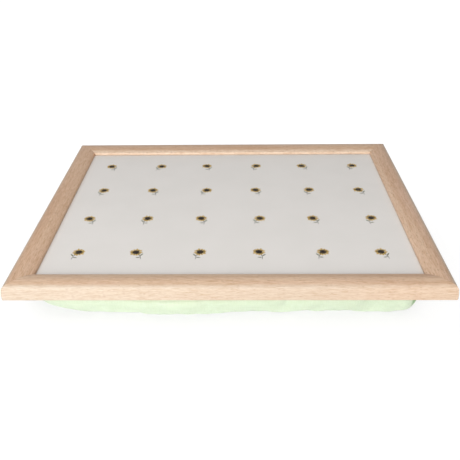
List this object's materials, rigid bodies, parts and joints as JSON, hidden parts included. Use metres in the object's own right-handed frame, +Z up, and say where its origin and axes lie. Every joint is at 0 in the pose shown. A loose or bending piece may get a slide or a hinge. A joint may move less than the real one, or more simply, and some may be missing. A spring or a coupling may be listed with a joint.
{
  "type": "lap tray with cushion",
  "caption": "Framed lap tray: a mitred wooden frame round a printed board, held by hook-and-loop strips on a bead-filled cushion that rests on the lap or a table.",
  "frame": {"origin": "on the surface that the cushion stands on, under the middle of the tray", "axes": "+X along the tray's long side, +Y to its back, +Z up"},
  "size_m": [0.4432, 0.3432, 0.0617],
  "materials": {
    "beech": "sanded, clear satin lacquer",
    "print_laminate": "satin printed laminate",
    "fibreboard": "raw sawn edge",
    "backing_paper": "plain sealed paper",
    "nail_steel": "bright rolled strip",
    "hook_tape": "moulded hooks on woven tape",
    "loop_tape": "brushed loops on woven tape",
    "green_cotton": "plain woven cotton",
    "bead_fill": "expanded beads"
  },
  "bodies": {
    "cushion": {"cushion_base_cover": "green_cotton", "cushion_top_cover": "green_cotton", "bead_filling": "bead_fill", "front_loop_strip": "loop_tape", "back_loop_strip": "loop_tape", "left_loop_strip": "loop_tape", "right_loop_strip": "loop_tape"},
    "tray": {"front_rail": "beech", "back_rail": "beech", "left_rail": "beech", "right_rail": "beech", "mitre_v_nails": "nail_steel", "board_pins": "nail_steel", "backing_sheet": "backing_paper", "board_core": "fibreboard", "print_sheet": "print_laminate", "front_hook_strip": "hook_tape", "back_hook_strip": "hook_tape", "left_hook_strip": "hook_tape", "right_hook_strip": "hook_tape"}
  },
  "joints": [
    {"name": "tray_lift", "type": "slide", "parent": "cushion", "child": "tray", "axis": [0, 0, 1], "range_m": [0, 0.08]}
  ]
}
